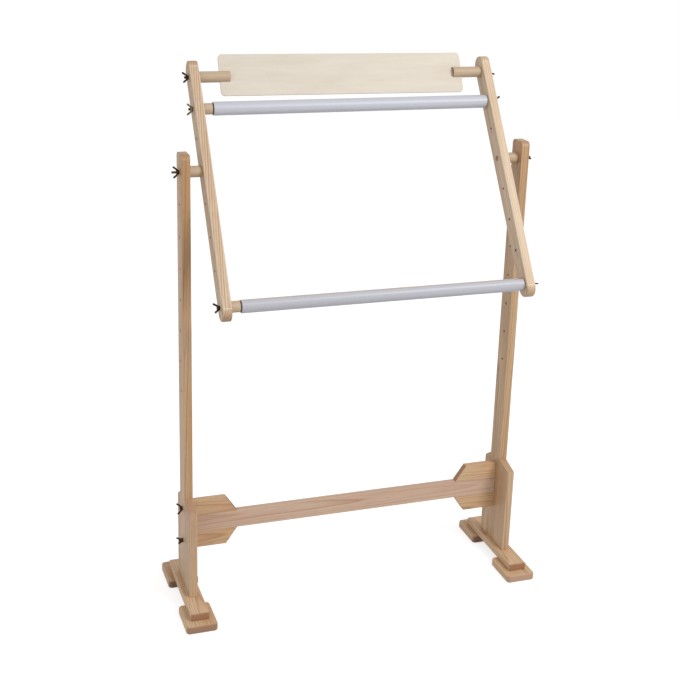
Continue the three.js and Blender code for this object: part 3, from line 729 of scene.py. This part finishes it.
def makeStub(node, pith, tilt):
    # a dowel end sawn down the middle: the disc at the slot's root is split in three, the whole is drawn out
    # to the bar, and the two outer parts are drawn in to be the prongs
    sign, (inner, outer) = sideOf(node), spanX(node)
    half, root = stub["slotWidth"] / 2, inner + stub["slotDepth"]
    mesh = bmesh.new()
    bmesh.ops.create_circle(mesh, cap_ends=True, segments=shaping["sides"], radius=dowel["radius"] * mm)
    for offset in (-half, half):
        geometry = mesh.verts[:] + mesh.edges[:] + mesh.faces[:]
        bmesh.ops.bisect_plane(mesh, geom=geometry, dist=shaping["cutMerge"] * mm,
                               plane_co=(offset * mm, 0, 0), plane_no=(1, 0, 0))
    prongs = [face for face in mesh.faces if abs(face.calc_center_median().x) > half * mm]
    for faces, keep, reach in ((mesh.faces[:], True, outer - root), (prongs, False, -stub["slotDepth"])):
        out = bmesh.ops.extrude_face_region(mesh, geom=faces, use_keep_orig=keep)
        shifted = [v for v in out["geom"] if isinstance(v, bmesh.types.BMVert)]
        bmesh.ops.translate(mesh, verts=shifted, vec=(0, 0, reach * mm))
    bmesh.ops.delete(mesh, geom=prongs, context="FACES_ONLY")   # the discs that are inside the wood now
    bmesh.ops.recalc_face_normals(mesh, faces=mesh.faces)
    easeEdges(mesh, [e for e in crispEdges(mesh) if e.is_convex], stub["ease"], stub["easeSteps"])
    # Z of the making becomes outward X, and the slot's width becomes the board's thickness
    toward = Matrix(((0, 0, sign), (sign, 0, 0), (0, 1, 0))).to_4x4()
    placing = Matrix.Translation((sign * root * mm, 0, 0)) @ toward
    bmesh.ops.transform(mesh, verts=mesh.verts, matrix=placing)
    moved(mesh, node, -radians(chartBoard["lean"]))
    finishWood(mesh, camel(node), node, "dowel", turnedDowel, sideways, pith, tilt)


for node, (pith, tilt) in slottedStubs.items():
    makeStub(node, pith, tilt)
print("dowels made")


# Fabric clips

clip = {
    "inner": 12.0, "outer": 14.0, "lipEase": 0.9, "endEase": 0.35,   # mm
    "lipLength": 100,   # mm; a crisp edge longer than this is a lip
    "slit": 64,         # degrees
    "rimAngle": 60,     # degrees; wide enough to leave out the rounded lips
    "steps": 72, "lipSteps": 4, "endSteps": 3,
}
slitFacing = {"upper": 122, "lower": 10}   # degrees behind straight up, where the slit's middle faces


def makeClip(which):
    # the cut end of the wall, spun from lip to lip
    node = which + "_clip"
    low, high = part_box(node)
    mesh = bmesh.new()
    corners = [(low[0], clip["inner"]), (high[0], clip["inner"]), (high[0], clip["outer"]),
               (low[0], clip["outer"])]
    start = mesh.faces.new([mesh.verts.new((x, 0, r * mm)) for x, r in corners])
    bmesh.ops.spin(mesh, geom=[start] + start.edges[:] + start.verts[:], axis=(1, 0, 0), cent=(0, 0, 0),
                   angle=radians(360 - clip["slit"]), steps=clip["steps"])
    bmesh.ops.recalc_face_normals(mesh, faces=mesh.faces)
    lips = [e for e in crispEdges(mesh, clip["rimAngle"]) if e.calc_length() > clip["lipLength"] * mm]
    easeEdges(mesh, lips, clip["lipEase"], clip["lipSteps"], clamp=False)
    easeEdges(mesh, crispEdges(mesh, clip["rimAngle"]), clip["endEase"], clip["endSteps"], clamp=False)
    # the spin carries straight up towards the front, so the wall starts just in front of the slit
    moved(mesh, which + "_roller", radians(clip["slit"] / 2 - slitFacing[which]))
    finishPiece(mesh, which + "Clip", node, "white_plastic", pvc[which])


makeClip("upper")
makeClip("lower")
print("clips made")


# Studs and pivot bolts

thread = {"radius": 2.5, "root": 2.08, "pitch": 0.8, "length": 12.0, "tip": 0.6}   # mm, an M5 thread
threadShape = ((0.3, "root"), (0.45, "root"), (0.85, "radius"), (1.0, "radius"))   # over one pitch
studSides = 24
boltHead = {"radius": 5.5, "height": 3.0, "steps": 8, "sides": 32}   # mm


def threadedShank(x0, x1):
    # from the plain inner end to the tip, with ridges where it stands past the nut
    points = [(x0, thread["radius"]), (x1 - thread["length"], thread["radius"])]
    for i in range(int((thread["length"] - thread["tip"]) / thread["pitch"])):
        x = x1 - thread["length"] + i * thread["pitch"]
        points += [(x + share * thread["pitch"], thread[size]) for share, size in threadShape]
    return points + [(x1 - thread["tip"], thread["radius"]), (x1, thread["radius"] - thread["tip"]), (x1, 0)]


def makeStud(node):
    inner, tip = spanX(node)
    mesh = turned([(inner, 0)] + threadedShank(inner, tip), studSides)
    finishPiece(moved(mirrored(mesh, sideOf(node)), node), camel(node), node, "bronzed_steel", bronzed)


def makeBolt(node):
    # domed head inside the bar, shank through bar, spacer and upright
    top, tip = spanX(node)
    seat = top + boltHead["height"]
    dome = []
    for i in range(boltHead["steps"] + 1):
        turn = pi / 2 * i / boltHead["steps"]
        dome.append((seat - boltHead["height"] * cos(turn), boltHead["radius"] * sin(turn)))
    mesh = turned(dome + threadedShank(seat, tip), boltHead["sides"])
    finishPiece(moved(mirrored(mesh, sideOf(node)), node), camel(node), node, "bronzed_steel", boltMetal)


for node in nodes:
    if node.endswith("_stud"):
        makeStud(node)
    if node.endswith("_pivot_bolt"):
        makeBolt(node)
print("studs and bolts made")


# Wing nuts

wingNut = {
    # mm: along the axis from the seat, then distance from the axis
    "hub": [(0, 2.8), (0, 4.5), (0.3, 4.8), (2.8, 4.8), (5.3, 3.95), (5.6, 3.65), (5.6, 2.8)],
    "foot": [(0.8, 3.35), (0.8, 4.5)], "valley": (5.6, 4.2), "root": (4.2, 3.35),
    "tip": (10.1, 10.1), "tipRadius": 1.9, "tipFrom": 125, "tipTo": -50, "bend": 3.6,
    "thickness": 2.4, "sides": 48, "arcSteps": 14, "curveSteps": 6,
    "grain": 0.3, "settle": 0.5, "settleTimes": 4,   # mm of a fused cell, then how it is smoothed
    "tipSlack": 0.05,   # mm; packed points within this of the furthest are at the wings' tips
}
brassyNut = "upper_roller_left_wing_nut"   # paler than the others


def bentLine(start, control, end):
    # from start to end, drawn towards the control point, with neither end
    points = []
    for i in range(1, wingNut["curveSteps"]):
        t = i / wingNut["curveSteps"]
        points.append(tuple((1 - t) ** 2 * a + 2 * t * (1 - t) * b + t * t * c
                            for a, b, c in zip(start, control, end)))
    return points


def wingOutline():
    (tipX, tipR), size = wingNut["tip"], wingNut["tipRadius"]
    steps = wingNut["arcSteps"]
    turns = [radians(wingNut["tipFrom"] + (wingNut["tipTo"] - wingNut["tipFrom"]) * i / steps)
             for i in range(steps + 1)]
    arc = [(tipX + size * cos(turn), tipR + size * sin(turn)) for turn in turns]
    bend = (arc[0][0] - wingNut["bend"] * sin(turns[0]), arc[0][1] + wingNut["bend"] * cos(turns[0]))
    outer = bentLine(wingNut["foot"][-1], bend, arc[0])
    inner = bentLine(arc[-1], wingNut["valley"], wingNut["root"])
    return wingNut["foot"] + outer + arc + inner + [wingNut["root"]]


def castNut():
    # hub and wings as separate shells, in mm with X along the axis and Z along the wings, then fused and
    # smoothed as a casting is
    mesh = bmesh.new()
    points = [mesh.verts.new((x, 0, r)) for x, r in wingNut["hub"]]
    edges = [mesh.edges.new(pair) for pair in zip(points, points[1:] + points[:1])]
    bmesh.ops.spin(mesh, geom=points + edges, axis=(1, 0, 0), cent=(0, 0, 0), angle=2 * pi,
                   steps=wingNut["sides"], use_merge=True)
    for direction in (1, -1):
        corners = [(x, -wingNut["thickness"] / 2, direction * r) for x, r in wingOutline()]
        face = mesh.faces.new([mesh.verts.new(corner) for corner in corners])
        out = bmesh.ops.extrude_face_region(mesh, geom=[face], use_keep_orig=True)
        shifted = [v for v in out["geom"] if isinstance(v, bmesh.types.BMVert)]
        bmesh.ops.translate(mesh, verts=shifted, vec=(0, wingNut["thickness"], 0))
    bmesh.ops.recalc_face_normals(mesh, faces=mesh.faces)
    rough = bpy.data.objects.new("rough", bpy.data.meshes.new("rough"))
    mesh.to_mesh(rough.data)
    mesh.free()
    bpy.context.scene.collection.objects.link(rough)
    fuse = rough.modifiers.new("fuse", "REMESH")
    fuse.mode, fuse.voxel_size = "VOXEL", wingNut["grain"]
    settle = rough.modifiers.new("settle", "SMOOTH")
    settle.factor, settle.iterations = wingNut["settle"], wingNut["settleTimes"]
    ready = rough.evaluated_get(bpy.context.evaluated_depsgraph_get())
    cast = bpy.data.meshes.new_from_object(ready)
    bpy.data.objects.remove(rough)
    return cast


def wingDirection(node, axis):
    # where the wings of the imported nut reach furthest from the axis
    reach = [Vector((0, v.co.y - axis.y, v.co.z - axis.z)) for v in nodes[node].data.vertices]
    longest = max(reach, key=lambda way: way.length)
    ends = [way for way in reach if way.length > longest.length - wingNut["tipSlack"] * mm]
    return sum((way if way.dot(longest) > 0 else -way for way in ends), Vector()).normalized()


def makeNut(node, cast):
    # the box of a nut is centred on its axis, because its two wings are alike
    axis, sign = middle(node), sideOf(node)
    wing = wingDirection(node, axis)
    outward = Vector((sign, 0, 0))
    placing = Matrix((outward, wing.cross(outward), wing)).transposed().to_4x4()
    mesh = bmesh.new()
    mesh.from_mesh(cast)
    bmesh.ops.scale(mesh, vec=(mm, mm, mm), verts=mesh.verts)
    seat = Matrix.Translation((sign * spanX(node)[0] * mm, axis.y, axis.z))
    bmesh.ops.transform(mesh, verts=mesh.verts, matrix=seat @ placing)
    finish = ("brassy_steel", brassy) if node == brassyNut else ("bronzed_steel", bronzed)
    finishPiece(mesh, camel(node), node, *finish)


nutCasting = castNut()
for node in nodes:
    if node.endswith("_wing_nut"):
        makeNut(node, nutCasting)
print("wing nuts made")
